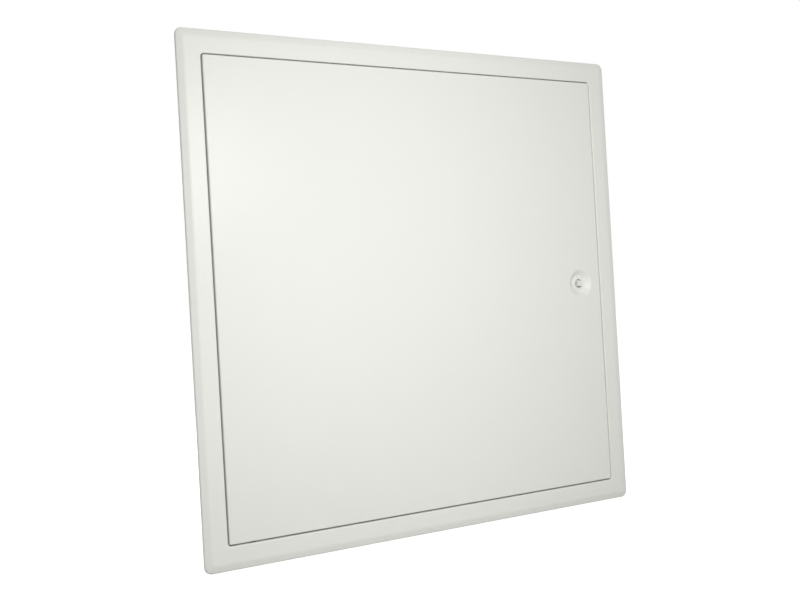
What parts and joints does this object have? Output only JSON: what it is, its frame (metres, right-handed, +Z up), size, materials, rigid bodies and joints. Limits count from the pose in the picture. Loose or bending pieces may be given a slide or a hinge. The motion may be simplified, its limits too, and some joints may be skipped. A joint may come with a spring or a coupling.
{
  "type": "ceiling access panel",
  "caption": "Square steel access panel: soft-edged flange, flush pan door on pivot pins with a spring bolt, and a square-key cam lock in a pressed dish.",
  "frame": {"origin": "middle of the opening, in the plane of the finished board that the rim of the face frame rests on", "axes": "+X from the hinge side to the lock side, +Y back into the void behind the board, +Z up the panel as pictured; the door's face looks along -Y"},
  "size_m": [0.66, 0.051, 0.66],
  "materials": {
    "white_coat": "satin white powder coat",
    "lock_white": "satin white coat on a die casting",
    "zinc_plate": "bright zinc plate",
    "acetal": "moulded black acetal",
    "foam": "closed-cell foam strip"
  },
  "bodies": {
    "frame": {"face_frame": "white_coat", "casing_top": "white_coat", "casing_bottom": "white_coat", "casing_hinge_side": "white_coat", "casing_lock_side": "white_coat", "corner_rivets": "zinc_plate", "stop_top": "white_coat", "stop_bottom": "white_coat", "stop_lock_side": "white_coat", "seal_top": "foam", "seal_bottom": "foam", "seal_lock_side": "foam", "upper_pivot_bush": "acetal", "lower_pivot_bush": "acetal"},
    "door": {"door_skin": "white_coat", "stiffener_hinge_side": "white_coat", "stiffener_lock_side": "white_coat", "upper_pivot_bracket": "zinc_plate", "lower_pivot_bracket": "zinc_plate", "lower_pivot_pin": "zinc_plate", "thrust_washer": "acetal", "lock_housing": "lock_white", "lock_nut": "zinc_plate", "bolt_spring": "zinc_plate"},
    "bolt": {"spring_bolt": "zinc_plate", "bolt_clip": "zinc_plate", "bolt_knob": "acetal"},
    "lock": {"lock_spindle": "lock_white", "friction_washer": "acetal", "lock_cam": "zinc_plate", "cam_washer": "zinc_plate", "cam_screw": "zinc_plate"}
  },
  "joints": [
    {"name": "door_swing", "type": "hinge", "parent": "frame", "child": "door", "pos_m": [-0.2662, 0.0045, 0], "axis": [0, 0, -1], "range_deg": [0, 135]},
    {"name": "bolt_slide", "type": "slide", "parent": "door", "child": "bolt", "axis": [0, 0, -1], "range_m": [0, 0.008], "stiffness_N_per_m": 1200, "springref_m": -0.006, "deforming": ["bolt_spring"]},
    {"name": "lock_turn", "type": "hinge", "parent": "door", "child": "lock", "pos_m": [0.2622, -0.005, -0.0025], "axis": [0, -1, 0], "range_deg": [0, 90]}
  ]
}
